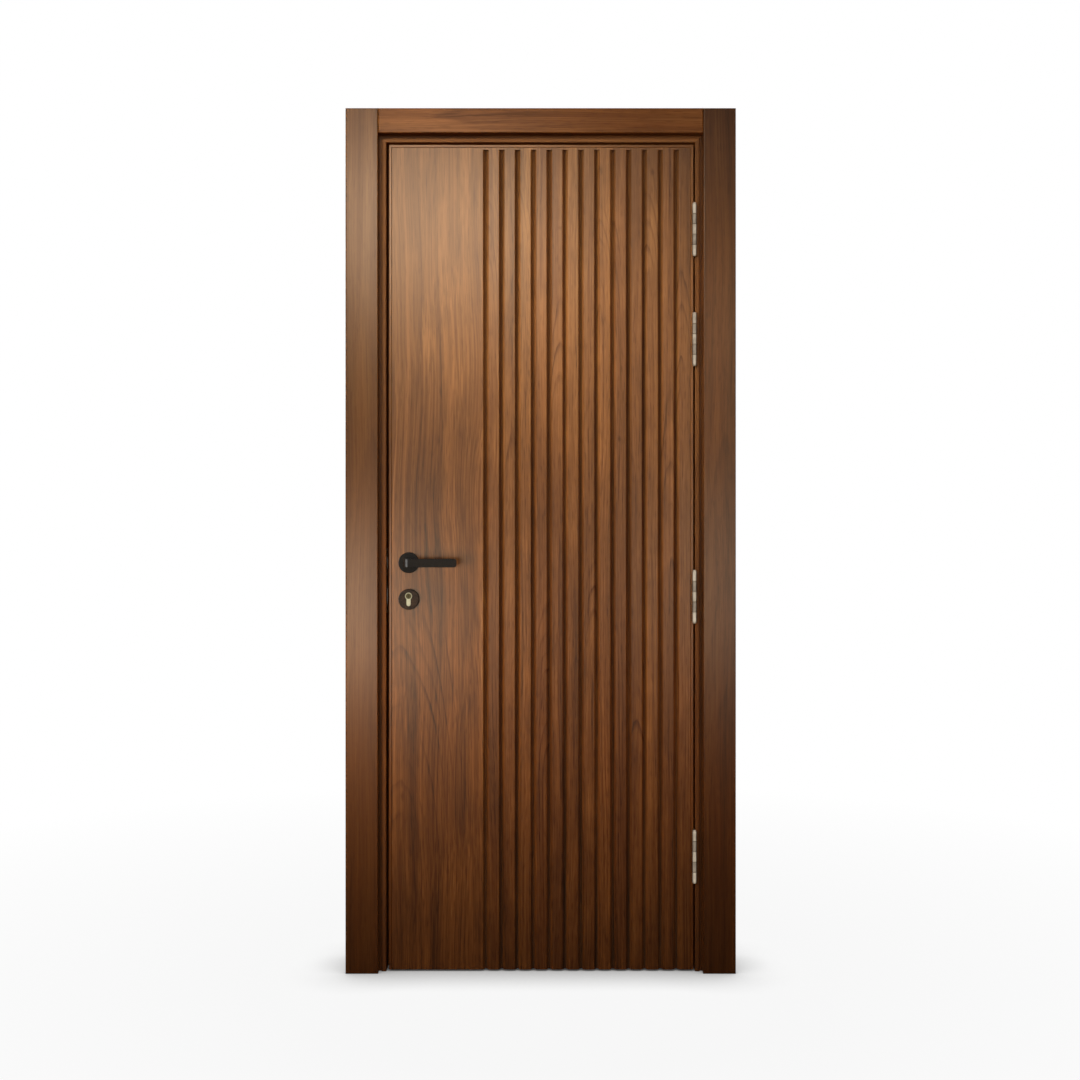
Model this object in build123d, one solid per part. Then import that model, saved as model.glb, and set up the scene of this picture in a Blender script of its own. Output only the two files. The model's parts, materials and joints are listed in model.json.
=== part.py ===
from build123d import *
import os

os.makedirs("parts", exist_ok=True)

# A walnut flush door in its frame. Millimetres, +Z up, the front faces -Y, hinges on the +X side.
# The origin lies on the wall face of the hinge jamb, at the floor, midway through the wall.

# Door leaf
leaf_width = 750.0
leaf_height = 2032.0
leaf_thickness = 44.0
face_board_thickness = 12.0
lipping_width = 7.5
lipping_bevel = 1.8
lipping_ease = 1.2

# Staves of the fluted side: bevelled edges that meet at a seam make a flute, stopped short of the top
stave_count = 13
stave_width = 39.1
last_stave_width = 34.6
flute_width = 13.5
flute_floor = 3.0
flute_depth = 9.0
flute_stop = 5.0
stave_ease = 2.0

# Running gaps round the closed leaf
hinge_gap = 4.0
lock_gap = 6.8
head_gap = 5.5
floor_gap = 5.0
stop_gap = 5.0

# Rebated frame with a quirked bead on its front
jamb_thickness = 38.0
jamb_depth = 120.0
stop_projection = 14.0
stop_ease = 2.0
bead_width = 11.5
bead_round = 2.5
quirk_width = 6.5
quirk_depth = 6.0

# Casings
casing_width = 80.0
head_casing_height = 61.0
casing_thickness = 20.0
casing_ease = 3.0
back_reveal = 10.0

# Butt hinges: two measured down from the leaf's top to their centres, two up from its foot
hinges_below_top = (210.0, 480.0)
hinges_above_foot = (919.0, 280.0)
hinge_length = 127.0
knuckle_count = 5
knuckle_radius = 6.0
knuckle_ease = 0.9
knuckle_play = 0.4
knuckle_clearance = 0.6
pin_radius = 3.0
pin_clearance = 0.05
pin_cap_radius = 4.8
pin_cap_height = 2.5
pin_cap_ease = 1.0
plate_thickness = 2.5
plate_depth = 34.0
plate_corner = 6.0
plate_gap = 1.4

# Lock and lever furniture
spindle_height = 1007.0
backset = 49.0
lock_centres = 82.0
spindle_size = 8.0
spindle_play = 0.6
spindle_socket = 12.0
spindle_bore = 20.0
rose_diameter = 51.0
rose_thickness = 9.0
rose_ease = 2.0
lever_neck = 19.0
lever_neck_play = 0.5
lever_neck_lift = 1.0
lever_standoff = 54.0
lever_height = 21.0
lever_thickness = 10.0
lever_reach = 120.0
lever_bend = 14.0
lever_inner_bend = 5.0
lever_tip_round = 6.0
lever_ease = 1.0
rose_to_lever = 2.5
escutcheon_diameter = 51.0
escutcheon_thickness = 9.0
cylinder_round = 8.5
cylinder_tail = 10.0
cylinder_height = 33.0
cylinder_proud = 1.5
cylinder_play = 0.3
plug_radius = 6.4
plug_line = 0.5
keyway_width = 2.4
keyway_height = 9.0
keyway_depth = 6.0
forend_width = 22.0
forend_thickness = 3.0
forend_round = 9.0
forend_above_spindle = 75.0
forend_below_cylinder = 78.0
case_thickness = 15.0
case_behind_spindle = 26.0
case_margin = 25.0
case_play = 0.5
bolt_thickness = 12.0
bolt_length = 22.0
bolt_play = 0.3
latch_height = 22.0
dead_bolt_height = 34.0
strike_width = 24.0
strike_thickness = 2.5
strike_round = 9.0
strike_margin = 26.0
strike_hole_play = 2.0
strike_pocket = 16.0

# Places worked out from the sizes above
wall_x = 0.0
rebate_x = wall_x - jamb_thickness
leaf_x1 = rebate_x - hinge_gap
leaf_x0 = leaf_x1 - leaf_width
lock_rebate_x = leaf_x0 - lock_gap
lock_wall_x = lock_rebate_x - jamb_thickness
front_y = -jamb_depth / 2
back_y = jamb_depth / 2
leaf_front_y = front_y
leaf_back_y = leaf_front_y + leaf_thickness
leaf_middle_y = (leaf_front_y + leaf_back_y) / 2
stop_y = leaf_back_y + stop_gap
leaf_z0 = floor_gap
leaf_z1 = leaf_z0 + leaf_height
head_rebate_z = leaf_z1 + head_gap
frame_top_z = head_rebate_z + jamb_thickness
reveal = bead_width + quirk_width
casing_lap = jamb_thickness - reveal
board_x0 = leaf_x0 + lipping_width
board_x1 = leaf_x1 - lipping_width
board_z1 = leaf_z1 - lipping_width
flute_z1 = board_z1 - flute_stop
staves_x0 = board_x1 - last_stave_width - (stave_count - 1) * stave_width
seams = [staves_x0 + index * stave_width for index in range(stave_count)]
hinge_heights = [leaf_z1 - drop for drop in hinges_below_top]
hinge_heights += [leaf_z0 + rise for rise in hinges_above_foot]
pin_x = rebate_x - hinge_gap / 2
pin_y = leaf_front_y - knuckle_radius - knuckle_clearance
spindle_x = leaf_x0 + backset
cylinder_z = spindle_height - lock_centres
escutcheon_z = cylinder_z + cylinder_round - cylinder_height / 2
leaf_middle = Plane((0, leaf_middle_y, 0), x_dir=(1, 0, 0), z_dir=(0, -1, 0))


def block(x0, x1, y0, y1, z0, z1):
    """A box between two values on each axis."""
    corner = (Align.MIN, Align.MIN, Align.MIN)
    return Pos(x0, y0, z0) * Box(x1 - x0, y1 - y0, z1 - z0, align=corner)


def rounded(face, rounds):
    """The face with the corner nearest to each (point, radius) pair rounded."""
    for (x, y), radius in rounds:
        at = Vector(x, y, 0)
        face = fillet(face.vertices().sort_by(lambda v: (Vector(*v) - at).length)[0], radius)
    return face


def outline(points, rounds=()):
    """A face from corner points, with (corner, radius) pairs rounded."""
    return rounded(make_face(Polyline(*points, close=True)), rounds)


def through_leaf(sketch, x, z, y0, y1):
    """A sketch drawn as seen from the front, carried along Y from y0 to y1."""
    return extrude(Plane((x, y1, z), x_dir=(1, 0, 0), z_dir=(0, -1, 0)) * sketch, amount=y1 - y0)


def upright(face, z0, z1):
    """A plan section carried up from z0 to z1."""
    return Pos(0, 0, z0) * extrude(face, amount=z1 - z0, dir=(0, 0, 1))


def mitred_surround(section, depth, x0, x1, z0, z1):
    """Two uprights and a head of one section, mitred at both upper corners.

    The section's x runs inwards from the outer face and its y along Y. It is less than depth wide.
    """
    run = x1 - x0
    rise = z1 - z0
    left = extrude(Plane((x0, 0, z0), x_dir=(1, 0, 0), z_dir=(0, 0, 1)) * section, amount=rise)
    right = extrude(Plane((x1, 0, z1), x_dir=(-1, 0, 0), z_dir=(0, 0, -1)) * section, amount=rise)
    head = extrude(Plane((x0, 0, z1), x_dir=(0, 0, -1), z_dir=(1, 0, 0)) * section, amount=run)
    far = jamb_depth
    left_half = [(x0, z0), (x0 + depth, z0), (x0 + depth, z1 - depth), (x0, z1)]
    right_half = [(x1, z0), (x1, z1), (x1 - depth, z1 - depth), (x1 - depth, z0)]
    top_half = [(x0, z1), (x0 + depth, z1 - depth), (x1 - depth, z1 - depth), (x1, z1)]
    members = []
    for member, half in ((left, left_half), (right, right_half), (head, top_half)):
        members.append(member & through_leaf(outline(half), 0, 0, -far, far))
    return members


def euro_profile(play):
    """Round plug housing with its straight tail below, grown by play."""
    tail = cylinder_height - cylinder_round
    drop = tail - cylinder_tail / 2
    bar = Pos(0, -drop / 2) * Rectangle(cylinder_tail + 2 * play, drop)
    return Circle(cylinder_round + play) + bar + Pos(0, -drop) * Circle(cylinder_tail / 2 + play)


def frame_section():
    """Jamb and head: quirk and bead in front, rebate for the leaf, stop behind it."""
    inner = jamb_thickness + stop_projection
    quirk = casing_lap + quirk_width
    points = [
        (0, front_y),
        (casing_lap, front_y),
        (casing_lap, front_y + quirk_depth),
        (quirk, front_y + quirk_depth),
        (quirk, front_y),
        (jamb_thickness, front_y),
        (jamb_thickness, stop_y),
        (inner, stop_y),
        (inner, back_y),
        (0, back_y),
    ]
    rounds = [
        ((quirk, front_y), bead_round),
        ((jamb_thickness, front_y), bead_round),
        ((inner, stop_y), stop_ease),
        ((inner, back_y), stop_ease),
    ]
    return outline(points, rounds)


def lipping_section():
    """Edge strip of the leaf: eased outside, bevelled inside to leave a fine line."""
    points = [
        (0, leaf_front_y),
        (lipping_width - lipping_bevel, leaf_front_y),
        (lipping_width, leaf_front_y + lipping_bevel),
        (lipping_width, leaf_back_y - lipping_bevel),
        (lipping_width - lipping_bevel, leaf_back_y),
        (0, leaf_back_y),
    ]
    return outline(points, [((0, leaf_front_y), lipping_ease), ((0, leaf_back_y), lipping_ease)])


def casings(side, lap):
    """Lock, hinge and head boards on one face of the wall. The uprights run up past the head board."""
    near_y = front_y if side < 0 else back_y
    far_y = near_y + side * casing_thickness
    lock_in = lock_wall_x + lap
    hinge_in = wall_x - lap
    head_z = frame_top_z - lap
    top_z = head_z + head_casing_height
    low, high = min(near_y, far_y), max(near_y, far_y)
    boards = [
        block(lock_in - casing_width, lock_in, low, high, 0, top_z),
        block(hinge_in, hinge_in + casing_width, low, high, 0, top_z),
        block(lock_in, hinge_in, low, high, head_z, top_z),
    ]
    shown = 0 if side < 0 else -1
    return [fillet(board.faces().sort_by(Axis.Y)[shown].edges(), casing_ease) for board in boards]


def mortise(play):
    """Space that the lock takes up in the leaf's edge: the face plate and the case behind it."""
    low = cylinder_z - case_margin - cylinder_height + cylinder_round
    high = spindle_height + case_margin
    half_plate = forend_width / 2 + play
    half_case = case_thickness / 2 + play
    plate = block(
        leaf_x0,
        leaf_x0 + forend_thickness,
        leaf_middle_y - half_plate,
        leaf_middle_y + half_plate,
        cylinder_z - forend_below_cylinder - play,
        spindle_height + forend_above_spindle + play,
    )
    plate = fillet(plate.edges().filter_by(Axis.X), forend_round + play)
    case = block(
        leaf_x0,
        spindle_x + case_behind_spindle + play,
        leaf_middle_y - half_case,
        leaf_middle_y + half_case,
        low - play,
        high + play,
    )
    return plate + case


def lock_bores():
    """Round spindle bore and profile cylinder hole right through the leaf."""
    spindle = through_leaf(Circle(spindle_bore / 2), spindle_x, spindle_height, leaf_front_y, leaf_back_y)
    cylinder = through_leaf(euro_profile(cylinder_play), spindle_x, cylinder_z, leaf_front_y, leaf_back_y)
    return spindle + cylinder


def bolts(play, length, x0):
    """Latch bolt and dead bolt, from x0 towards the hinge side."""
    half = bolt_thickness / 2 + play
    pair = []
    for z, tall in ((spindle_height, latch_height), (cylinder_z, dead_bolt_height)):
        reach = tall / 2 + play
        pair.append(
            block(x0, x0 + length + play, leaf_middle_y - half, leaf_middle_y + half, z - reach, z + reach)
        )
    return pair


def mortise_lock():
    """Face plate and case, with the bolts' slots and the two holes that the furniture passes through."""
    body = mortise(0)
    for slot in bolts(bolt_play, bolt_length, leaf_x0):
        body -= slot
    follower = (spindle_size / 2) * 2**0.5 + spindle_play
    body -= through_leaf(Circle(follower), spindle_x, spindle_height, leaf_front_y, leaf_back_y)
    body -= through_leaf(euro_profile(cylinder_play), spindle_x, cylinder_z, leaf_front_y, leaf_back_y)
    return body


def strike_space(play, thickness):
    """Recess on the lock jamb opposite the lock's face plate, with rounded ends."""
    half = strike_width / 2 + play
    low = cylinder_z - dead_bolt_height / 2 - strike_margin
    high = spindle_height + latch_height / 2 + strike_margin
    space = block(
        lock_rebate_x - thickness, lock_rebate_x, leaf_middle_y - half, leaf_middle_y + half, low, high
    )
    return fillet(space.edges().filter_by(Axis.X), strike_round + play)


def hinge_plate(x0, x1, y0, z0):
    """A hinge plate, or the recess for one, from y0 into the wood, with its two inner corners rounded."""
    plate = block(x0, x1, y0, leaf_front_y + plate_depth, z0, z0 + hinge_length)
    return fillet(plate.edges().filter_by(Axis.X).group_by(Axis.Y)[-1], plate_corner)


def hinge_plates(height):
    """The leaf's half and the frame's half of one butt hinge. The frame's half carries the pin."""
    z0 = height - hinge_length / 2
    pitch = hinge_length / knuckle_count
    near = plate_gap / 2
    far = near + plate_thickness
    leaf_half = hinge_plate(pin_x - far, pin_x - near, pin_y, z0)
    frame_half = hinge_plate(pin_x + near, pin_x + far, pin_y, z0)
    axis = Pos(pin_x, pin_y, 0)
    base = (Align.CENTER, Align.CENTER, Align.MIN)
    for i in range(knuckle_count):
        z = z0 + i * pitch
        knuckle = Cylinder(knuckle_radius, pitch - knuckle_play, align=base)
        knuckle = axis * Pos(0, 0, z) * chamfer(knuckle.edges().filter_by(GeomType.CIRCLE), knuckle_ease)
        room = axis * Pos(0, 0, z - knuckle_play) * Cylinder(
            knuckle_radius + knuckle_play, pitch + knuckle_play, align=base
        )
        if i % 2:
            leaf_half += knuckle
            frame_half -= room
        else:
            frame_half += knuckle
            leaf_half -= room
    bore = axis * Pos(0, 0, z0) * Cylinder(pin_radius + pin_clearance, hinge_length, align=base)
    pin = axis * Pos(0, 0, z0) * Cylinder(pin_radius, hinge_length - knuckle_play, align=base)
    cap = Cylinder(pin_cap_radius, pin_cap_height, align=base)
    cap = fillet(cap.edges().sort_by(Axis.Z)[-1], pin_cap_ease)
    top_cap = axis * Pos(0, 0, z0 + hinge_length - knuckle_play) * cap
    low_cap = axis * Pos(0, 0, z0) * Rot(180, 0, 0) * cap
    return leaf_half - bore, frame_half + pin + top_cap + low_cap


def hinge_mortise(height, side):
    """Recess for a hinge plate in the leaf's edge (side -1) or in the jamb (side 1)."""
    far = side * (plate_gap / 2 + plate_thickness)
    x0, x1 = sorted((pin_x, pin_x + far))
    return hinge_plate(x0, x1, leaf_front_y, height - hinge_length / 2)


def face_board(x0, x1, face_y, inward):
    """A face board from x0 to x1, with a flute, or half of one at an end, centred on each seam it reaches.

    Inward is the sign of Y from the shown face into the leaf. The flutes have bevelled sides and eased lips.
    """
    back = face_y + inward * face_board_thickness
    floor = face_y + inward * flute_depth
    half = flute_width / 2
    flat = flute_floor / 2
    section = outline([(x0, face_y), (x1, face_y), (x1, back), (x0, back)])
    lips = []
    for x in seams:
        if x0 - half < x < x1 + half:
            section -= outline([(x - half, face_y), (x + half, face_y), (x + flat, floor), (x - flat, floor)])
            lips += [((lip, face_y), stave_ease) for lip in (x - half, x + half) if x0 < lip < x1]
    board = upright(rounded(section, lips), leaf_z0, flute_z1)
    low, high = sorted((face_y, back))
    return board + block(x0, x1, low, high, flute_z1, board_z1)


def rose():
    """Round plate that the lever's neck turns in."""
    y0 = leaf_front_y - rose_thickness
    plate = through_leaf(Circle(rose_diameter / 2), spindle_x, spindle_height, y0, leaf_front_y)
    plate = fillet(plate.faces().sort_by(Axis.Y)[0].edges(), rose_ease)
    hole = Circle(lever_neck / 2 + lever_neck_play)
    return plate - through_leaf(hole, spindle_x, spindle_height, y0, leaf_front_y)


def escutcheon():
    """Round plate about the profile cylinder."""
    y0 = leaf_front_y - escutcheon_thickness
    disc = Circle(escutcheon_diameter / 2)
    plate = through_leaf(disc, spindle_x, escutcheon_z, y0, leaf_front_y)
    plate = fillet(plate.faces().sort_by(Axis.Y)[0].edges(), rose_ease)
    return plate - through_leaf(euro_profile(cylinder_play), spindle_x, cylinder_z, y0, leaf_front_y)


def lock_cylinder():
    """Profile cylinder through the leaf, with a plug's outline and its keyway in each end."""
    y0 = leaf_front_y - escutcheon_thickness - cylinder_proud
    y1 = leaf_back_y + escutcheon_thickness + cylinder_proud
    body = through_leaf(euro_profile(0), spindle_x, cylinder_z, y0, y1)
    slot = RectangleRounded(keyway_width, keyway_height, keyway_width / 3)
    ring = Circle(plug_radius + plug_line) - Circle(plug_radius)
    for sketch, depth in ((slot, keyway_depth), (ring, plug_line)):
        body -= through_leaf(sketch, spindle_x, cylinder_z, y0, y0 + depth)
        body -= through_leaf(sketch, spindle_x, cylinder_z, y1 - depth, y1)
    return body


def lever():
    """Flat bar lever with a round neck, bent once in plan."""
    root_y = leaf_front_y - rose_thickness - rose_to_lever
    out_y = leaf_front_y - lever_standoff
    in_y = out_y + lever_thickness
    heel = spindle_x - lever_neck / 2
    neck = spindle_x + lever_neck / 2
    tip = spindle_x + lever_reach
    points = [(heel, root_y), (heel, out_y), (tip, out_y), (tip, in_y), (neck, in_y), (neck, root_y)]
    plan = outline(points, [((heel, out_y), lever_bend), ((neck, in_y), lever_inner_bend)])
    bar = upright(plan, spindle_height - lever_height / 2, spindle_height + lever_height / 2)
    tip_edges = bar.edges().filter_by(Axis.Y).group_by(Axis.X)[-1]
    bar = fillet(tip_edges, lever_tip_round)
    front_edges = bar.faces().sort_by(Axis.Y)[0].edges()
    bar = fillet(front_edges.filter_by(Axis.X), lever_ease)
    collar_y = leaf_front_y - lever_neck_lift
    collar = through_leaf(Circle(lever_neck / 2), spindle_x, spindle_height, root_y, collar_y)
    return bar + collar


def spindle():
    """Square bar between the two levers, seated in their necks."""
    reach = rose_thickness + rose_to_lever + spindle_socket
    square = Rectangle(spindle_size, spindle_size)
    return through_leaf(square, spindle_x, spindle_height, leaf_front_y - reach, leaf_back_y + reach)


parts = {}

lock_jamb, hinge_jamb, head_jamb = mitred_surround(
    frame_section(), 2 * jamb_thickness, lock_wall_x, wall_x, 0, frame_top_z
)
lock_jamb -= strike_space(0, strike_thickness)
for pocket in bolts(strike_hole_play, strike_pocket, lock_rebate_x - strike_pocket - strike_hole_play):
    lock_jamb -= pocket
for height in hinge_heights:
    hinge_jamb -= hinge_mortise(height, 1)
parts["lock_jamb"] = lock_jamb
parts["hinge_jamb"] = hinge_jamb
parts["head_jamb"] = head_jamb

back_lap = jamb_thickness + stop_projection - back_reveal
for label, side, lap in (("front", -1, casing_lap), ("back", 1, back_lap)):
    for place, board in zip(("lock", "hinge", "head"), casings(side, lap)):
        parts[f"{label}_{place}_casing"] = board

strike = strike_space(0, strike_thickness)
for hole in bolts(strike_hole_play, strike_pocket, lock_rebate_x - strike_pocket - strike_hole_play):
    strike -= hole
parts["strike_plate"] = strike

lock_lipping, hinge_lipping, top_lipping = mitred_surround(
    lipping_section(), 2 * lipping_width, leaf_x0, leaf_x1, leaf_z0, leaf_z1
)
lock_room = mortise(case_play)
bores = lock_bores()
core = block(
    board_x0,
    board_x1,
    leaf_front_y + face_board_thickness,
    leaf_back_y - face_board_thickness,
    leaf_z0,
    board_z1,
)
for height in hinge_heights:
    hinge_lipping -= hinge_mortise(height, -1)
parts["lock_edge_lipping"] = lock_lipping - lock_room
parts["hinge_edge_lipping"] = hinge_lipping
parts["top_edge_lipping"] = top_lipping
parts["leaf_core"] = core - lock_room - bores
parts["plain_face_board"] = face_board(board_x0, staves_x0, leaf_front_y, 1) - bores
parts["back_face_board"] = face_board(board_x0, board_x1, leaf_back_y, -1) - bores
stave_ends = seams + [board_x1]
for index in range(stave_count):
    stave = face_board(stave_ends[index], stave_ends[index + 1], leaf_front_y, 1)
    parts[f"stave_{index + 1:02d}"] = stave

parts["mortise_lock"] = mortise_lock()
parts["lock_bolts"] = Compound(bolts(0, bolt_length, leaf_x0))
parts["lock_cylinder"] = lock_cylinder()
front_rose = rose()
front_escutcheon = escutcheon()
socket = spindle()
front_lever = lever() - socket
parts["front_rose"] = front_rose
parts["back_rose"] = mirror(front_rose, about=leaf_middle)
parts["front_escutcheon"] = front_escutcheon
parts["back_escutcheon"] = mirror(front_escutcheon, about=leaf_middle)
parts["front_lever"] = front_lever
parts["back_lever"] = mirror(front_lever, about=leaf_middle)
parts["spindle"] = socket

for number, height in enumerate(hinge_heights, 1):
    leaf_half, frame_half = hinge_plates(height)
    parts[f"hinge_{number}_leaf_half"] = leaf_half
    parts[f"hinge_{number}_frame_half"] = frame_half

for name, shape in parts.items():
    export_step(shape, f"parts/{name}.step")
print(len(parts), "pieces")
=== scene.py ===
import json
import math

import bpy
import numpy as np
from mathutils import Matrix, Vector


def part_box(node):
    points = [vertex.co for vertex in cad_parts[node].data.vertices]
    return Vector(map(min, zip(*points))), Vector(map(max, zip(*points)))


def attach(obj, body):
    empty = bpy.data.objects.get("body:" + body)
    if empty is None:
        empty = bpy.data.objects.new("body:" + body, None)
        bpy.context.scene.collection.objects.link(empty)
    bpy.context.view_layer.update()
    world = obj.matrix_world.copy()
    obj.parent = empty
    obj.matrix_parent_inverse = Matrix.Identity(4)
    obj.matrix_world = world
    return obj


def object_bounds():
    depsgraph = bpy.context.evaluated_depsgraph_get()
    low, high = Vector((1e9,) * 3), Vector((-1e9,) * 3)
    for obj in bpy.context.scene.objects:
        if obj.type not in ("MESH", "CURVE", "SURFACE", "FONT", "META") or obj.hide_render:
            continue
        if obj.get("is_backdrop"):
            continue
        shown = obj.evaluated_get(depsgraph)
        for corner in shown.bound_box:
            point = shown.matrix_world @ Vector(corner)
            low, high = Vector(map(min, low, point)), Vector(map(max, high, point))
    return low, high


# A walnut flush door in its frame: plain lock side, fluted hinge side, black furniture, satin nickel hinges.
# Metres, +Z up, the front faces -Y. Figure of the wood is written in millimetres.

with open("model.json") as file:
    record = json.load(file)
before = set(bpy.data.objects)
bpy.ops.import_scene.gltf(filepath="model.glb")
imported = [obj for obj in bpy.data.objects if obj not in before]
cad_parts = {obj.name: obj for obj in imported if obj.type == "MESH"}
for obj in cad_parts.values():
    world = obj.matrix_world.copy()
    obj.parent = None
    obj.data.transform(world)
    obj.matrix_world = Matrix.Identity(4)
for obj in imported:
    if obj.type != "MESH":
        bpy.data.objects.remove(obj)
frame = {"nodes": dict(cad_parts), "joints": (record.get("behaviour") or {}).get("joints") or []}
cadLow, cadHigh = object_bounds()
nodes = frame["nodes"]
joints = {joint["name"]: joint for joint in frame["joints"]}
mm = 0.001
print("frame loaded:", len(nodes), "pieces")


def linear(hexColour, lift=1.0):
    # sRGB hex to linear RGBA; lift, one number or three, makes the same stain lighter, darker or warmer
    parts = np.array([int(hexColour[i:i + 2], 16) for i in (1, 3, 5)]) / 255
    straight = np.where(parts <= 0.04045, parts / 12.92, ((parts + 0.055) / 1.055) ** 2.4)
    return (*np.minimum(straight * lift, 1.0).tolist(), 1.0)


def addNode(tree, kind, inputs=None, out=0, stops=(), **settings):
    # one node: settings are its properties, inputs go to its sockets as values or links; returns one output
    node = tree.nodes.new("ShaderNode" + kind)
    for key, value in settings.items():
        setattr(node, key, value)
    for key, value in (inputs or {}).items():
        if isinstance(value, bpy.types.NodeSocket):
            tree.links.new(value, node.inputs[key])
        else:
            node.inputs[key].default_value = value
    for i, (place, colour) in enumerate(stops):
        element = node.color_ramp.elements[i] if i < 2 else node.color_ramp.elements.new(place)
        element.position = place
        element.color = colour
    return node.outputs[out] if node.outputs else node


def grainNoise(tree, place, width, length, detail, shift=(0.0, 0.0, 0.0), out="Fac"):
    # a pattern of patches drawn out along the grain, so wide and so long
    drawnOut = addNode(tree, "Mapping", {
        "Vector": place, "Scale": (1 / width, 1 / width, 1 / length), "Location": shift,
    })
    return addNode(tree, "TexNoise", {"Vector": drawnOut, "Scale": 1.0, "Detail": detail}, out=out)


def seenDirectly(tree):
    # 1 where a surface is seen, also mirrored or through glass, and 0 where it only lights other surfaces
    rays = addNode(tree, "LightPath").node.outputs
    seen = addNode(tree, "Math", {0: rays["Is Camera Ray"], 1: rays["Is Glossy Ray"]}, operation="MAXIMUM")
    return addNode(tree, "Math", {0: seen, 1: rays["Is Transmission Ray"]}, operation="MAXIMUM")


def newMaterial(name):
    # an empty material with its shader joined to its output
    material = bpy.data.materials.new(name)
    material.use_nodes = True
    tree = material.node_tree
    tree.nodes.clear()
    surface = addNode(tree, "BsdfPrincipled")
    addNode(tree, "OutputMaterial", {"Surface": surface})
    return material, tree, surface.node.inputs


def paint(piece, material):
    piece.data.materials.clear()
    piece.data.materials.append(material)


# Camera: square on to the leaf, level with the middle of the picture
camera = {
    "place": (-0.420, -3.460, 1.063),
    "frameWidth": 2.661,  # what the picture spans at the leaf's face
    "sensor": 36.0,
}
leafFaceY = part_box("plain_face_board")[0].y
cameraData = bpy.data.cameras.new("doorCamera")
cameraData.sensor_width = camera["sensor"]
cameraData.lens = camera["sensor"] * (leafFaceY - camera["place"][1]) / camera["frameWidth"]
cameraObject = bpy.data.objects.new("doorCamera", cameraData)
cameraObject.location = camera["place"]
cameraObject.rotation_euler = (math.radians(90), 0, 0)
bpy.context.scene.collection.objects.link(cameraObject)
bpy.context.scene.camera = cameraObject
print("camera set, lens", round(cameraData.lens, 2))


# Walnut: planed boards, stained and sprayed with satin lacquer. The eye sees soft brown and tan bands along
# the grain, thin dark growth lines that arch where the saw ran near the heart, short pores and a quiet sheen.
walnut = {
    "finish": "satinWalnut",
    "tones": ("#381E0B", "#5A3517", "#784A23", "#936031", "#B68249"),  # growth line to palest streak
    "balance": 0.52,  # where the board's middle tone lies among them
    "lift": 1.0,  # this board against the others
    "tint": (1.0, 1.0, 1.0),  # warmer or cooler than the others
    "turned": False,  # True where the grain runs across the door
    "seed": 0.0,
    "seedStep": (531.0, 217.0, 1703.0),  # boards whose seeds differ by 1 lie this far apart in the tree
    "seedSpan": 97.0,  # the drift takes the same step in units of this many millimetres
    "figure": 1.0,  # how strongly all of the figure shows
    "drift": (36.0, 130.0, 760.0),  # sideways wander of the grain from end to end, its width and its length
    # each layer of streaks: width, length, strength, detail
    "mottle": (110.0, 190.0, 0.30, 1.0),
    "flow": (48.0, 1700.0, 0.50, 1.0),
    "band": (17.0, 1300.0, 0.50, 1.0),
    "streak": (6.0, 900.0, 0.40, 1.0),
    "fibre": (2.4, 340.0, 0.36, 0.0),  # single fibres are finer than a pixel, so they are drawn in bundles
    "pore": (2.4, 30.0, 0.12),  # drawn about ten times as wide as real pores
    "poreRange": (0.56, 0.74),  # noise from which a pore starts, and where it is darkest
    # the tree's heart: across from the board's middle, and how deep behind its face below and above a stretch
    # of the board; where it comes nearer, over that stretch, the growth lines arch
    "heart": (10.0, 120.0, 150.0),
    "stretch": (200.0, 1900.0),
    "ringWidth": 8.0,  # drawn about twice as wide as grown, so that it shows
    "ringDepth": 0.26,
    "ringWander": 4.0,
    "ringYear": ((0.0, 0.35), (0.10, 0.0), (0.66, 0.06), (0.94, 1.0), (1.0, 0.35)),  # time of year, darkness
    "ringRange": (0.38, 0.62),  # mottle from which the lines start to show, and where they are clear
    "redness": 0.35,
    "redStain": "#FFE6D2",
    "redPatch": (50.0, 900.0),
    "redRange": (0.40, 0.70),
    "roughness": (0.35, 0.28),  # dark lines are duller than pale streaks
    "glossRange": (0.2, 0.8),
    "specular": 0.04,
    "bump": (0.10, 0.6 * mm),  # strength and height of the open grain
    "flute": None,  # face y, floor y, and the share that the colour is darkened to at the flutes' floors, as painted shade
    "calm": None,  # from one height to another, in metres, the figure fades to this share
    "marks": (),  # x, z, half width, half length, slant, darkness of knots, dark flecks and pale streaks, and of painted shade and light
    "markFray": 0.9,
    "markEdge": (0.45, 1.4),  # a mark is full up to the one and gone from the other, in half widths
}
noiseMiddle = 0.5
throughBoard = 1e4  # depth of a mark: more than any board has


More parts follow.
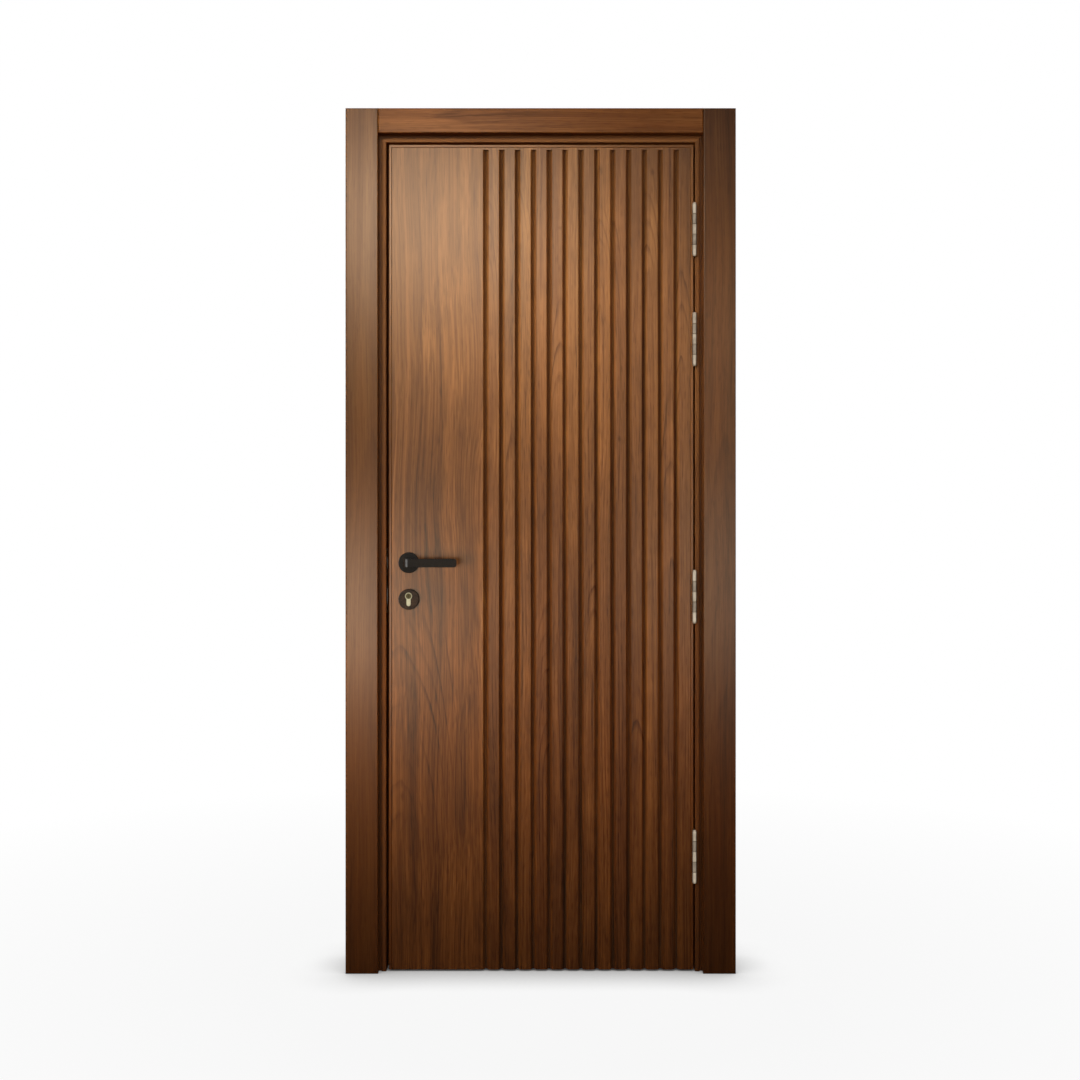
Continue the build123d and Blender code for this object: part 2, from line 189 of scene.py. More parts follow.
def walnutFinish(nodeName, **changes):
    look = {**walnut, **changes}
    low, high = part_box(nodeName)
    material, tree, shader = newMaterial(look["finish"] + "." + nodeName)
    place = addNode(tree, "TexCoord", out="Object")
    board = addNode(tree, "Mapping", {
        "Vector": place,
        "Scale": (1 / mm, 1 / mm, 1 / mm),
        "Rotation": (0.0, math.radians(90.0 if look["turned"] else 0.0), 0.0),
    })
    middle = (low + high) / 2 / mm
    middle = (middle.z, middle.y, -middle.x) if look["turned"] else tuple(middle)
    seed = np.array(look["seedStep"]) * look["seed"]

    # slow noise bends every line of the figure the same way
    reach, width, length = look["drift"]
    sway = grainNoise(tree, board, width, length, 1.0, tuple(seed / look["seedSpan"]), out="Color")
    sway = addNode(tree, "VectorMath", {0: sway, 1: (noiseMiddle,) * 3}, operation="SUBTRACT")
    bent = addNode(tree, "VectorMath", {0: sway, 1: (reach, reach, 0.0), 2: board}, operation="MULTIPLY_ADD")

    # layers of noise drawn out along the grain add up to one value, from dark line to pale streak
    layers = {layer: look[layer] for layer in ("mottle", "flow", "band", "streak", "fibre")}
    strengths = sum(strength for width, length, strength, detail in layers.values())
    value = look["balance"] - look["figure"] * strengths * noiseMiddle
    noises = {}
    for layer, (width, length, strength, detail) in layers.items():
        noises[layer] = grainNoise(tree, bent, width, length, detail, tuple(seed / width))
        value = addNode(tree, "Math", {
            0: noises[layer], 1: strength * look["figure"], 2: value,
        }, operation="MULTIPLY_ADD")

    # growth lines: distance from the heart, cut into even rings of uneven strength
    across, near, far = look["heart"]
    fromZ, toZ = look["stretch"]
    parts = addNode(tree, "SeparateXYZ", {0: bent}).node.outputs
    aside = addNode(tree, "Math", {0: parts["X"], 1: middle[0] + across}, operation="SUBTRACT")
    behind = addNode(tree, "MapRange", {
        0: parts["Z"], 1: fromZ, 2: toZ, 3: near, 4: far,
    }, interpolation_type="SMOOTHSTEP")
    fromHeart = addNode(tree, "CombineXYZ", {"X": aside, "Y": behind})
    radius = addNode(tree, "VectorMath", {0: fromHeart}, operation="LENGTH", out="Value")
    uneven = addNode(tree, "Math", {
        0: noises["band"], 1: look["ringWander"], 2: radius,
    }, operation="MULTIPLY_ADD")
    rings = addNode(tree, "Math", {0: uneven, 1: look["ringWidth"]}, operation="DIVIDE")
    line = addNode(tree, "Math", {0: rings}, operation="FRACT")
    line = addNode(tree, "ValToRGB", {0: line}, stops=[
        (time, (dark, dark, dark, 1.0)) for time, dark in look["ringYear"]
    ])
    year = addNode(tree, "Math", {0: rings}, operation="FLOOR")
    year = addNode(tree, "TexWhiteNoise", {"W": year}, noise_dimensions="1D", out="Value")
    line = addNode(tree, "Math", {0: line, 1: year}, operation="MULTIPLY")
    hidden, clear = look["ringRange"]
    shows = addNode(tree, "MapRange", {0: noises["mottle"], 1: hidden, 2: clear})
    line = addNode(tree, "Math", {0: line, 1: shows}, operation="MULTIPLY")
    value = addNode(tree, "Math", {
        0: line, 1: -look["ringDepth"] * look["figure"], 2: value,
    }, operation="MULTIPLY_ADD")

    # pores: short dark dashes
    width, length, strength = look["pore"]
    start, full = look["poreRange"]
    dashes = addNode(tree, "MapRange", {0: grainNoise(tree, bent, width, length, 0.0), 1: start, 2: full})
    value = addNode(tree, "Math", {
        0: dashes, 1: -strength * look["figure"], 2: value,
    }, operation="MULTIPLY_ADD")

    # knots, flecks, streaks and patches of painted shade and light: ellipses with an edge frayed by the
    # streak noise
    full, gone = look["markEdge"]
    for x, z, halfWidth, halfLength, slant, darkness in look["marks"]:
        away = addNode(tree, "Mapping", {
            "Vector": bent,
            "Location": (x, middle[1], z),
            "Rotation": (0.0, math.radians(slant), 0.0),
            "Scale": (halfWidth, throughBoard, halfLength),
        }, vector_type="TEXTURE")
        away = addNode(tree, "VectorMath", {0: away}, operation="LENGTH", out="Value")
        away = addNode(tree, "Math", {
            0: noises["streak"], 1: look["markFray"], 2: away,
        }, operation="MULTIPLY_ADD")
        mark = addNode(tree, "MapRange", {
            0: away, 1: full, 2: gone, 3: darkness, 4: 0.0,
        }, interpolation_type="SMOOTHSTEP")
        value = addNode(tree, "Math", {0: value, 1: mark}, operation="SUBTRACT")

    if look["calm"]:
        fromZ, toZ, share = look["calm"]
        height = addNode(tree, "SeparateXYZ", {0: place}, out="Z")
        share = addNode(tree, "MapRange", {0: height, 1: fromZ, 2: toZ, 3: 1.0, 4: share})
        value = addNode(tree, "Math", {0: value, 1: look["balance"]}, operation="SUBTRACT")
        value = addNode(tree, "Math", {0: value, 1: share, 2: look["balance"]}, operation="MULTIPLY_ADD")

    # colour: the tones by that value, redder in long patches, darker towards the flutes' floors as painted
    # shade
    count = len(look["tones"]) - 1
    lift = np.array(look["tint"]) * look["lift"]
    colour = addNode(tree, "ValToRGB", {0: value}, stops=[
        (i / count, linear(tone, lift)) for i, tone in enumerate(look["tones"])
    ])
    start, full = look["redRange"]
    redder = addNode(tree, "MapRange", {
        0: grainNoise(tree, bent, *look["redPatch"], 2.0), 1: start, 2: full, 3: 0.0, 4: look["redness"],
    })
    colour = addNode(tree, "Mix", {
        0: redder, 6: colour, 7: linear(look["redStain"]),
    }, data_type="RGBA", blend_type="MULTIPLY", out=2)
    dull, bright = look["roughness"]
    start, full = look["glossRange"]
    gloss = addNode(tree, "MapRange", {0: value, 1: start, 2: full, 3: dull, 4: bright})
    if look["flute"]:
        faceY, floorY, shade = look["flute"]
        depth = addNode(tree, "SeparateXYZ", {0: place}, out="Y")
        # painted shade: the colour darkens from the flutes' mid depth to their floors
        paintedFluteShade = addNode(tree, "MapRange", {
            0: depth, 1: (faceY + floorY) / 2, 2: floorY, 3: 1.0, 4: shade,
        })
        colour = addNode(tree, "VectorMath", {0: colour, 3: paintedFluteShade}, operation="SCALE")
        bare = addNode(tree, "MapRange", {0: depth, 1: faceY, 2: floorY, 3: dull, 4: 1.0})
        gloss = addNode(tree, "Math", {0: gloss, 1: bare}, operation="MAXIMUM")
    strength, height = look["bump"]
    relief = addNode(tree, "Bump", {"Height": value, "Strength": strength, "Distance": height})
    tree.links.new(colour, shader["Base Color"])
    tree.links.new(gloss, shader["Roughness"])
    tree.links.new(relief, shader["Normal"])
    shader["Specular IOR Level"].default_value = look["specular"]
    paint(nodes[nodeName], material)


# Flutes: their colour is darkened towards their floors as painted shade; the spray hardly reaches their
# floors, so these are duller
flutes = {"depth": 9 * mm, "shade": 0.60}
frontFlute = (leafFaceY, leafFaceY + flutes["depth"], flutes["shade"])
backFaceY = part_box("back_face_board")[1].y
backFlute = (backFaceY, backFaceY - flutes["depth"], flutes["shade"])

# Plain board on the lock side: one wide veneer with pale streaks above and flame lines below
plainBoard = {
    "seed": 0.3,
    "heart": (-96.0, 80.0, 150.0),
    "stretch": (250.0, 950.0),
    "redness": 0.10,
    "drift": (48.0, 140.0, 620.0),
    "ringWidth": 9.0,
    "ringDepth": 0.42,
    "mottle": (80.0, 190.0, 0.48, 2.0),
    "flow": (46.0, 2100.0, 0.90, 1.0),
    "band": (17.0, 1900.0, 0.60, 1.0),
    "streak": (6.0, 1700.0, 0.46, 1.0),
    "fibre": (2.4, 900.0, 0.50, 0.0),
    "calm": (1.05, 1.75, 0.58),
    "flute": frontFlute,
    "marks": (
        (-745.0, 1640.0, 15.0, 460.0, 0.0, -0.16),  # pale streak near the lock edge
        (-662.0, 1660.0, 9.0, 380.0, -1.5, -0.14),  # pale streak that slants
        (-703.0, 1330.0, 5.0, 300.0, 0.0, 0.15),  # dark line above the lever
        (-671.0, 1425.0, 4.0, 24.0, -8.0, 0.20),  # fleck
        (-570.0, 1080.0, 20.0, 46.0, 0.0, 0.12),  # darker patches beside the lever and the cylinder
        (-585.0, 880.0, 26.0, 60.0, 0.0, 0.10),
        (-757.0, 432.0, 9.0, 20.0, 0.0, 0.20),  # small knot
    ),
}
walnutFinish("plain_face_board", **plainBoard)

# Staves: each cut from another plank, so each has its own tone; some show arches near the top
staves = {
    "seed": (1.7, 0.37),  # of the stave before the first, and from one to the next
    "lifts": (0.95, 0.94, 1.20, 0.97, 0.91, 1.04, 0.93, 1.23, 0.95, 0.90, 0.98, 1.07, 0.91),
    "yellows": (1.00, 1.01, 1.05, 0.98, 0.98, 1.02, 1.01, 1.02, 0.98, 0.99, 1.01, 1.00, 1.01),
    # each plank was sawn at another place in its tree: its heart, and where its growth lines start to arch
    "across": (-18.0, 9.0, -17.0, 12.0, 6.0, -8.0, 14.0, -14.0, -12.0, 3.0, -15.0, 8.0, -5.0),
    "near": (20.0, 8.0, 1.3),  # middle value, swing, and the swing's turn from stave to stave
    "far": (48.0, 12.0, 1.9),
    "archAt": (1640, 900, 1610, 480, 1240, 1120, 700, 1560, 1640, 330, 1580, 950, 1330),
    "archLength": 480.0,
    "look": {
        "redness": 0.16,
        "ringWidth": 6.0,
        "ringDepth": 0.44,
        "ringWander": 3.0,
        "calm": (0.9, 1.7, 0.75),
        "mottle": (36.0, 110.0, 0.56, 3.0),
        "flow": (48.0, 1100.0, 0.50, 1.0),
        "band": (15.0, 700.0, 0.46, 1.0),
        "streak": (5.0, 500.0, 0.30, 1.0),
        "fibre": (2.2, 160.0, 0.28, 0.0),
        "flute": frontFlute,
    },
    # small knots, and long stretches that are paler or darker than the rest of their plank
    "marks": {
        2: ((-493.0, 1820.0, 20.0, 300.0, 0.0, -0.28),),
        4: ((-415.0, 1880.0, 20.0, 260.0, 0.0, 0.20),),
        5: ((-376.0, 1832.0, 7.0, 9.0, 0.0, 0.22),),
        9: ((-226.0, 1312.0, 6.0, 12.0, 0.0, 0.20),),
        11: ((-142.0, 1970.0, 8.0, 12.0, 0.0, 0.24), (-142.0, 1790.0, 20.0, 280.0, 0.0, -0.28)),
        12: ((-103.0, 1200.0, 16.0, 240.0, 0.0, 0.10),),
        13: ((-64.0, 1210.0, 16.0, 240.0, 0.0, 0.10),),
    },
}
firstSeed, seedStep = staves["seed"]
perStave = zip(staves["lifts"], staves["yellows"], staves["across"], staves["archAt"])
for i, (lift, yellow, across, archAt) in enumerate(perStave, 1):
    near, far = [
        middle + swing * math.sin(turn * i) for middle, swing, turn in (staves["near"], staves["far"])
    ]
    walnutFinish(
        f"stave_{i:02d}",
        seed=firstSeed + seedStep * i,
        lift=lift,
        tint=(1.0, yellow, yellow),
        heart=(across, near, far),
        stretch=(archAt, archAt + staves["archLength"]),
        marks=staves["marks"].get(i, ()),
        **staves["look"],
    )

# Back of the leaf and its edges
leafBack = {
    "seed": 9.1, "heart": (120.0, 90.0, 160.0), "stretch": (500.0, 1300.0), "ringWidth": 16.0,
    "ringDepth": 0.5, "flute": backFlute,
}
walnutFinish("back_face_board", **leafBack)
lippings = {
    "lock_edge_lipping": {"seed": 4.4, "figure": 0.6},
    "hinge_edge_lipping": {"seed": 4.9, "figure": 0.6},
    "top_edge_lipping": {"seed": 5.1, "figure": 0.6, "turned": True},
}
for nodeName, look in lippings.items():
    walnutFinish(nodeName, **look)

# Core: bare glued timber, pale and matt; it shows at the leaf's foot alone
coreTimber = {
    "finish": "gluedTimber", "tones": ("#7A5632", "#94704A", "#AC8A60", "#BE9E74", "#CDB088"), "seed": 3.3,
    "roughness": (0.80, 0.70), "specular": 0.3,
}
walnutFinish("leaf_core", **coreTimber)

# Frame: jambs and casings of straighter, quieter grain; the hinge side is stained darker
jambs = {
    "lock_jamb": {"seed": 6.2, "lift": 0.95},
    "hinge_jamb": {"seed": 6.9, "lift": 0.80},
    "head_jamb": {"seed": 7.4, "lift": 1.10, "turned": True},
}
jambLook = {"figure": 0.5, "roughness": (0.60, 0.52), "specular": 0.02}
for nodeName, look in jambs.items():
    walnutFinish(nodeName, **jambLook, **look)
casings = {
    "lock": {"seed": 8.1, "lift": 0.84, "figure": 0.55, "specular": 0.034},
    "hinge": {"seed": 8.8, "lift": 0.56, "tint": (1.0, 0.94, 0.88), "figure": 0.75, "specular": 0.034},
    "head": {
        "seed": 2.9, "tint": (1.0, 0.90, 0.80), "figure": 0.80, "turned": True, "specular": 0.016,
        "marks": (  # up, and from right to left, because the board is turned
            (2095.0, 460.0, 90.0, 190.0, 0.0, 0.10),  # darker middle: painted shade, so the head's light falls off from left to right
            (2095.0, 20.0, 90.0, 170.0, 0.0, -0.16),  # paler right end: painted light
        ),
    },
}
for side in ("front", "back"):
    for place, look in casings.items():
        walnutFinish(f"{side}_{place}_casing", **look)
print("walnut finished")


# Metals. Black powder coat: baked matt paint with a faint orange peel. Blackened bronze: a dark brown patina.
# Satin nickel and steel: brushed along the piece, so the shine breaks into fine lines. Brass: turned, with
# its plug painted darker, as painted shade of its keyway. Zinc plate on the screws: darker and greyer than
# the plates that they hold.
metals = {
    "blackPowderCoat": {
        "colours": ("#151413", "#262422"), "metallic": 0.0, "roughness": (0.22, 0.32), "specular": 0.12,
        "grain": (3.0, 3.0), "bump": 0.06,  # orange peel of about 1 mm, drawn at 3 mm so that it shows
    },
    "blackenedBronze": {
        "colours": ("#241C16", "#46382E"), "metallic": 0.0, "roughness": (0.30, 0.42), "specular": 0.15,
        "grain": (4.0, 4.0), "bump": 0.06,
    },
    "satinNickel": {
        "colours": ("#A89A86", "#D0C2AC"), "metallic": 1.0, "roughness": (0.32, 0.44), "specular": 0.5,
        "grain": (1.6, 30.0), "bump": 0.04,  # brush lines, drawn about ten times as wide as real ones
    },
    # the same satin nickel painted darker for the hinges' leaf halves: painted shade
    "dullNickel": {
        "colours": ("#83776A", "#AA9C88"), "metallic": 1.0, "roughness": (0.34, 0.46), "specular": 0.5,
        "grain": (1.6, 30.0), "bump": 0.04,
    },
    "satinBrass": {
        "colours": ("#B9AE88", "#D6CCA8"), "metallic": 1.0, "roughness": (0.30, 0.42), "specular": 0.5,
        "grain": (1.2, 1.2), "bump": 0.03,
    },
    "zincPlatedSteel": {
        "colours": ("#57534D", "#77726A"), "metallic": 1.0, "roughness": (0.34, 0.46), "specular": 0.5,
        "grain": (1.2, 1.2), "bump": 0.03,
    },
    "brushedSteel": {
        "colours": ("#8F8D88", "#B2B0AB"), "metallic": 1.0, "roughness": (0.30, 0.42), "specular": 0.5,
        "grain": (1.2, 40.0), "bump": 0.04,
    },
}
handled = {"smudge": 18 * mm, "range": (0.75, 1.25), "bumpHeight": 0.4 * mm}  # what all of the metals share


def metalFinish(name, plug=None):
    look = metals[name]
    material, tree, shader = newMaterial(name)
    place = addNode(tree, "TexCoord", out="Object")
    width, length = look["grain"]
    grain = grainNoise(tree, place, width * mm, length * mm, 3.0)
    smudges = addNode(tree, "TexNoise", {
        "Vector": place, "Scale": 1 / handled["smudge"], "Detail": 2.0,
    }, out="Fac")
    value = addNode(tree, "Math", {0: grain, 1: smudges}, operation="ADD")
    start, full = handled["range"]
    value = addNode(tree, "MapRange", {0: value, 1: start, 2: full})
    dark, bright = look["colours"]
    colour = addNode(tree, "ValToRGB", {0: value}, stops=((0.0, linear(dark)), (1.0, linear(bright))))
    if plug:
        fromAxis = addNode(tree, "VectorMath", {0: place, 1: plug["axis"]}, operation="SUBTRACT")
        fromAxis = addNode(tree, "VectorMath", {0: fromAxis, 1: (1.0, 0.0, 1.0)}, operation="MULTIPLY")
        fromAxis = addNode(tree, "VectorMath", {0: fromAxis}, operation="LENGTH", out="Value")
        # painted shade: the cylinder's face darkens inside the plug's radius
        paintedKeywayShade = addNode(tree, "MapRange", {
            0: fromAxis, 1: plug["radius"], 2: plug["radius"] * plug["edge"], 3: 1.0, 4: 0.0,
        })
        colour = addNode(tree, "Mix", {
            0: paintedKeywayShade, 6: colour, 7: linear(plug["colour"]),
        }, data_type="RGBA", out=2)
    smooth, rough = look["roughness"]
    gloss = addNode(tree, "MapRange", {0: value, 3: rough, 4: smooth})
    relief = addNode(tree, "Bump", {
        "Height": grain, "Strength": look["bump"], "Distance": handled["bumpHeight"],
    })
    tree.links.new(colour, shader["Base Color"])
    tree.links.new(gloss, shader["Roughness"])
    tree.links.new(relief, shader["Normal"])
    shader["Metallic"].default_value = look["metallic"]
    shader["Specular IOR Level"].default_value = look["specular"]
    return material


# plug: a disc on the cylinder's face painted darker, as painted shade of its keyway
plug = {
    "radius": 6.4 * mm,
    "edge": 1.1,  # its tone has faded this many radii from its axis
    "colour": "#5E5438",
    "belowTop": 8.5 * mm,
}
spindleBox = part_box("spindle")
spindleX = (spindleBox[0].x + spindleBox[1].x) / 2
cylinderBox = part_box("lock_cylinder")
plug["axis"] = (spindleX, 0.0, cylinderBox[1].z - plug["belowTop"])
black = metalFinish("blackPowderCoat")
nickel = metalFinish("satinNickel")
dullNickel = metalFinish("dullNickel")
steel = metalFinish("brushedSteel")
bronze = metalFinish("blackenedBronze")
zinc = metalFinish("zincPlatedSteel")
for side in ("front", "back"):
    paint(nodes[side + "_rose"], black)
    paint(nodes[side + "_lever"], black)
    paint(nodes[side + "_escutcheon"], bronze)
hingeNames = sorted(name[:-len("_leaf_half")] for name in nodes if name.endswith("_leaf_half"))
for hinge in hingeNames:
    paint(nodes[hinge + "_frame_half"], nickel)
    # the leaf halves take the darker nickel, as painted shade
    paint(nodes[hinge + "_leaf_half"], dullNickel)
paint(nodes["lock_cylinder"], metalFinish("satinBrass", plug))
for nodeName in ("mortise_lock", "lock_bolts", "strike_plate", "spindle"):
    paint(nodes[nodeName], steel)
print("metals finished")


# Countersunk screws of the hinges, the lock's face plate and the strike plate
screw = {
    "radius": 4.4 * mm,
    "proud": 0.25 * mm,
    "sunk": 2.0 * mm,
    "crown": (0.6, 4),  # share of the rise that is lost at the rim, and the power that it is lost by
    "taper": 0.8,  # power of the cone: 1 is straight, less has a belly
    "recess": (0.75 * mm, 2.5 * mm, 1.3 * mm),  # half width, reach and depth of the cross
    "slope": 0.3,  # share of the cross's half width and reach that its walls lean over
    "turn": 0.7,  # radians from one screw's cross to the next one's
    "around": 48,
    "rings": 12,
}


def screwGrid(seat, facing, turn):
    # a turned profile, centre of the head to rim to point, carried round its axis; the head is pressed in
    # where a cross lies: the lesser of |u| and |v| is under its half width and the greater is under its reach
    rise = np.linspace(0, 1, screw["rings"])
    lost, power = screw["crown"]
    head = np.stack([screw["radius"] * rise, screw["proud"] * (1 - lost * rise ** power)], -1)
    cone = np.stack([screw["radius"] * (1 - rise[1:]), -screw["sunk"] * rise[1:] ** screw["taper"]], -1)
    profile = np.concatenate([head[1:], cone[:-1]])
    radius = profile[:, None, 0]
    angle = np.linspace(0, 2 * np.pi, screw["around"], endpoint=False)
    u = radius * np.cos(angle + turn)
    v = radius * np.sin(angle + turn)

    # the cross turns with its screw, so it is measured before the turn
    halfWidth, reach, depth = screw["recess"]
    alongU = abs(radius * np.cos(angle))
    alongV = abs(radius * np.sin(angle))
    lesser = np.minimum(alongU, alongV)
    greater = np.maximum(alongU, alongV)
    inWidth = np.clip((halfWidth - lesser) / (screw["slope"] * halfWidth) + 1, 0, 1)
    inReach = np.clip((reach - greater) / (screw["slope"] * reach), 0, 1)
    insideRim = (np.arange(len(profile)) < len(head) - 2)[:, None]
    w = profile[:, None, 1] - depth * (inWidth * inReach) * insideRim

    grid = np.stack([u, v, w], -1).reshape(-1, 3)
    poles = np.array([[0, 0, screw["proud"] - depth], [0, 0, -screw["sunk"]]])
    local = np.concatenate([grid, poles])
    out = np.array(facing, float)  # the head's direction, along X
    frameU = np.array([0.0, 1.0, 0.0])
    frameV = np.cross(out, frameU)
    points = np.array(seat) + local @ np.stack([frameU, frameV, out])
    ring = np.arange(screw["around"])
    following = np.roll(ring, -1)
    rows = np.arange(len(profile) - 1)[:, None] * screw["around"]
    nextRows = rows + screw["around"]
    quads = np.stack([rows + ring, nextRows + ring, nextRows + following, rows + following], -1)
    quads = quads.reshape(-1, 4)
    top = np.stack([np.full_like(ring, len(grid)), ring, following], -1)
    last = (len(profile) - 1) * screw["around"]
    bottom = np.stack([np.full_like(ring, len(grid) + 1), last + following, last + ring], -1)
    return points, quads, np.concatenate([top, bottom])


def addScrews(name, seats, body, material):
    points, faces, start = [], [], 0
    for i, (seat, facing) in enumerate(seats):
        corners, quads, fans = screwGrid(seat, facing, screw["turn"] * i)
        points.append(corners)
        faces += (start + quads).tolist() + (start + fans).tolist()
        start += len(corners)
    mesh = bpy.data.meshes.new(name)
    mesh.from_pydata(np.concatenate(points).tolist(), [], faces)
    mesh.validate()
    piece = bpy.data.objects.new(name, mesh)
    bpy.context.scene.collection.objects.link(piece)
    paint(piece, material)
    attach(piece, body)


hingeScrews = {
    # shares of the plate: up from its middle, and in from the leaf's face
    "rows": ((0.42, 0.30), (0.16, 0.68), (-0.16, 0.68), (-0.42, 0.30)),
    "plateGap": 1.4 * mm,  # between a hinge's two plates when the door is shut
}
pinX = joints["door_swing"]["pos_m"][0]
leafSeats, frameSeats = [], []
for hinge in hingeNames:
    low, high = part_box(hinge + "_leaf_half")
    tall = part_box(hinge + "_frame_half")
    middleZ = (tall[0].z + tall[1].z) / 2
    for up, into in hingeScrews["rows"]:
        y = leafFaceY + into * (high.y - leafFaceY)
        z = middleZ + up * (high.z - low.z)
        leafSeats.append(((pinX - hingeScrews["plateGap"] / 2, y, z), (1, 0, 0)))
        frameSeats.append(((pinX + hingeScrews["plateGap"] / 2, y, z), (-1, 0, 0)))
addScrews("hingeScrewsLeaf", leafSeats, "leaf", zinc)
addScrews("hingeScrewsFrame", frameSeats, "frame", zinc)

plateScrews = {"endInset": 11 * mm}
lockLow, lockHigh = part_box("mortise_lock")
lockY = (lockLow.y + lockHigh.y) / 2
lockSeats = [
    ((lockLow.x, lockY, lockLow.z + plateScrews["endInset"]), (-1, 0, 0)),
    ((lockLow.x, lockY, lockHigh.z - plateScrews["endInset"]), (-1, 0, 0)),
]
addScrews("lockScrews", lockSeats, "leaf", zinc)
strikeLow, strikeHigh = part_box("strike_plate")
strikeY = (strikeLow.y + strikeHigh.y) / 2
strikeSeats = [
    ((strikeHigh.x, strikeY, strikeLow.z + plateScrews["endInset"]), (1, 0, 0)),
    ((strikeHigh.x, strikeY, strikeHigh.z - plateScrews["endInset"]), (1, 0, 0)),
]
addScrews("strikeScrews", strikeSeats, "frame", zinc)
print("screws set:", len(leafSeats + frameSeats + lockSeats + strikeSeats))


# Studio. Polarised soft boxes with honeycomb grids light the front from the left, from above and from the
# right, and a wide fill from straight ahead; none of them shines in the door. The sheen lamps shine in the
# lacquered wood alone and the glint in the black furniture alone, and they give no light. One plain soft box
# lights the back.
lamps = {
    "keySoftBox": {
        "place": (-1.05, -0.95, 2.45), "aim": (-0.66, -0.06, 1.76), "size": (0.7, 0.5),
        "watts": 2.55, "spread": 60,
    },
    "staveSoftBox": {
        "place": (-1.15, -0.85, 1.75), "aim": (-0.18, -0.06, 1.55), "size": (0.5, 0.5),
        "watts": 1.25, "spread": 50,
    },
    "rightSoftBox": {
        "place": (0.10, -1.05, 2.35), "aim": (-0.16, -0.06, 1.64), "size": (0.5, 0.5),
        "watts": 1.15, "spread": 80,
    },
    "lowSoftBox": {
        "place": (-1.15, -0.80, 0.82), "aim": (-0.57, -0.06, 0.74), "size": (0.5, 0.5),
        "watts": 2.4, "spread": 100, "colour": "#FFDCAC",
    },
    "lowRightSoftBox": {
        "place": (0.35, -0.90, 0.55), "aim": (0.08, -0.06, 0.72), "size": (0.5, 0.5),
        "watts": 0.5, "spread": 70, "colour": "#FFD49A",
    },
    "frontFill": {
        "place": (-0.42, -3.30, 1.20), "aim": (-0.42, -0.06, 1.10), "size": (1.5, 1.5),
        "watts": 7.0, "colour": "#FFCE90",
    },
    "backSoftBox": {
        "place": (-0.90, 2.20, 2.20), "aim": (-0.42, 0.00, 1.10), "size": (1.2, 1.4),
        "watts": 60.0, "polarised": False,
    },
    "highSheen": {
        "place": (-0.82, -2.10, 2.30), "aim": (-0.50, -0.06, 1.40), "size": (0.85, 0.50),
        "watts": 225.0, "colour": "#FFF1D4", "shinesIn": "lacqueredWood",
    },
    "lowSheen": {
        "place": (-1.10, -2.10, 0.78), "aim": (-0.75, -0.06, 0.90), "size": (0.7, 0.5),
        "watts": 124.0, "colour": "#FFF1D4", "shinesIn": "lacqueredWood",
    },
    "rightSheen": {
        "place": (0.36, -2.10, 0.90), "aim": (-0.20, -0.06, 0.95), "size": (0.6, 0.7),
        "watts": 62.0, "colour": "#FFF1D4", "shinesIn": "lacqueredWood",
    },
    "topRightSheen": {
        "place": (0.30, -2.10, 1.85), "aim": (0.00, -0.06, 1.60), "size": (0.4, 0.5),
        "watts": 20.0, "colour": "#FFF1D4", "shinesIn": "lacqueredWood",
    },
    "furnitureGlint": {
        "place": (-2.20, -1.20, 1.15), "aim": (-0.74, -0.10, 1.00), "size": (1.4, 1.0),
        "watts": 60.0, "shinesIn": "furniture",
    },
}
receivers = {name: bpy.data.collections.new(name) for name in ("lacqueredWood", "furniture")}
for piece in nodes.values():
    finish = piece.data.materials[0].name
    if finish.startswith(walnut["finish"]):
        receivers["lacqueredWood"].objects.link(piece)
    elif finish.startswith("black"):
        receivers["furniture"].objects.link(piece)
for name, lamp in lamps.items():
    light = bpy.data.lights.new(name, "AREA")
    light.shape = "RECTANGLE"
    light.size, light.size_y = lamp["size"]
    light.energy = lamp["watts"]
    light.color = linear(lamp.get("colour", "#FFFFFF"))[:3]
    light.spread = math.radians(lamp.get("spread", 180))
    lightObject = bpy.data.objects.new(name, light)
    lightObject.location = lamp["place"]
    aim = Vector(lamp["aim"]) - Vector(lamp["place"])
    lightObject.rotation_euler = aim.to_track_quat("-Z", "Y").to_euler()
    lightObject.visible_camera = False
    if "shinesIn" in lamp:
        lightObject.visible_diffuse = False
        lightObject.light_linking.receiver_collection = receivers[lamp["shinesIn"]]
    else:
        lightObject.visible_glossy = not lamp.get("polarised", True)
    bpy.context.scene.collection.objects.link(lightObject)

surroundings = {"ambient": "#FFE0BC", "ambientStrength": 0.04, "white": "#FFFFFF"}
world = bpy.data.worlds.new("whiteStudio")
world.use_nodes = True
bpy.context.scene.world = world
sky = world.node_tree
sky.nodes.clear()
ambient = addNode(sky, "Background", {
    "Color": linear(surroundings["ambient"]), "Strength": surroundings["ambientStrength"],
})
white = addNode(sky, "Background", {"Color": linear(surroundings["white"]), "Strength": 1.0})
backdrop = addNode(sky, "MixShader", {0: seenDirectly(sky), 1: ambient, 2: white})
addNode(sky, "OutputWorld", {"Surface": backdrop})

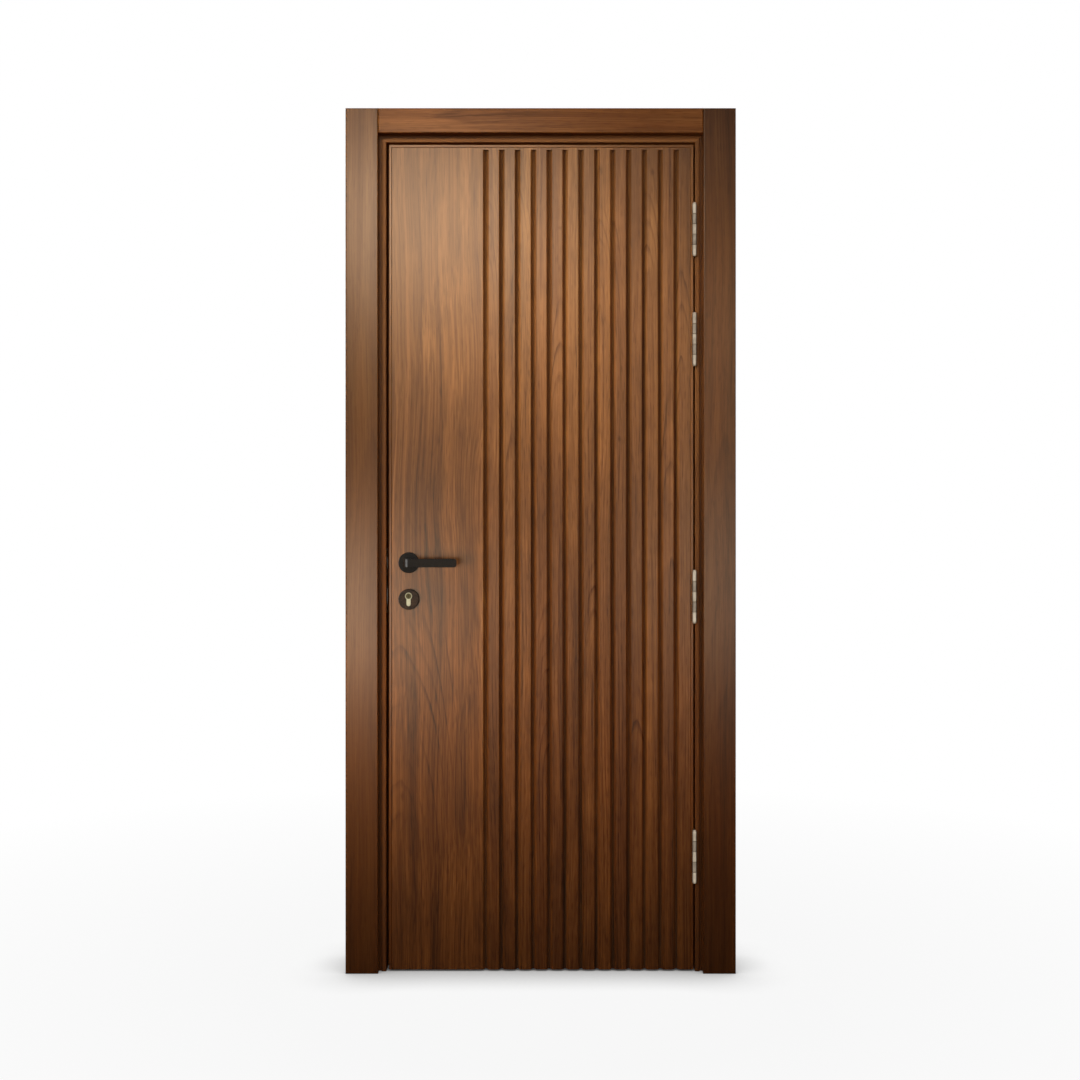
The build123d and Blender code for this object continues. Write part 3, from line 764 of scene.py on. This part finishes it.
# Floor: a pale sheet that fades to the background's white and keeps the door's shadow
floorLook = {
    "size": 14.0,
    "colour": "#A8A6A2",
    "lift": 0.4,  # darkens the sheet, so that it throws little light back on the door
    "fadeFrom": 0.7,
    "fadeTo": 2.6,
    "glow": 0.93,  # of the background's white, under the door
    "shadowReach": 0.16,
    "shadowSamples": 8,
}
half = floorLook["size"] / 2
middleX = (cadLow.x + cadHigh.x) / 2
floorMesh = bpy.data.meshes.new("paleFloor")
# a flat grid of three by three points
u, v = np.meshgrid(np.linspace(-half, half, 3), np.linspace(-half, half, 3))
corners = np.stack([u + middleX, v, np.zeros_like(u)], -1).reshape(-1, 3)
floorMesh.from_pydata(corners.tolist(), [], [(0, 1, 4, 3), (1, 2, 5, 4), (3, 4, 7, 6), (4, 5, 8, 7)])
floor = bpy.data.objects.new("paleFloor", floorMesh)
bpy.context.scene.collection.objects.link(floor)
floorMaterial = bpy.data.materials.new("paleFloorSheet")
floorMaterial.use_nodes = True
tree = floorMaterial.node_tree
tree.nodes.clear()
place = addNode(tree, "TexCoord", out="Object")
fromDoor = addNode(tree, "VectorMath", {
    0: place, 1: (middleX, 0.0, 0.0),
}, operation="DISTANCE", out="Value")
fade = addNode(tree, "MapRange", {
    0: fromDoor, 1: floorLook["fadeFrom"], 2: floorLook["fadeTo"], 3: floorLook["glow"], 4: 1.0,
})
contact = addNode(tree, "AmbientOcclusion", {
    "Distance": floorLook["shadowReach"],
}, out="AO", samples=floorLook["shadowSamples"])
fade = addNode(tree, "Math", {0: fade, 1: contact}, operation="MULTIPLY")
sheet = addNode(tree, "BsdfDiffuse", {"Color": linear(floorLook["colour"], floorLook["lift"])})
glow = addNode(tree, "Emission", {"Color": linear(surroundings["white"]), "Strength": 1.0})
shown = addNode(tree, "MixShader", {0: fade, 1: sheet, 2: glow})
surface = addNode(tree, "MixShader", {0: seenDirectly(tree), 1: sheet, 2: shown})
addNode(tree, "OutputMaterial", {"Surface": surface})
paint(floor, floorMaterial)
floor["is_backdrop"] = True
bpy.context.scene.view_settings.view_transform = "Standard"
print("studio set")

low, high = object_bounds()
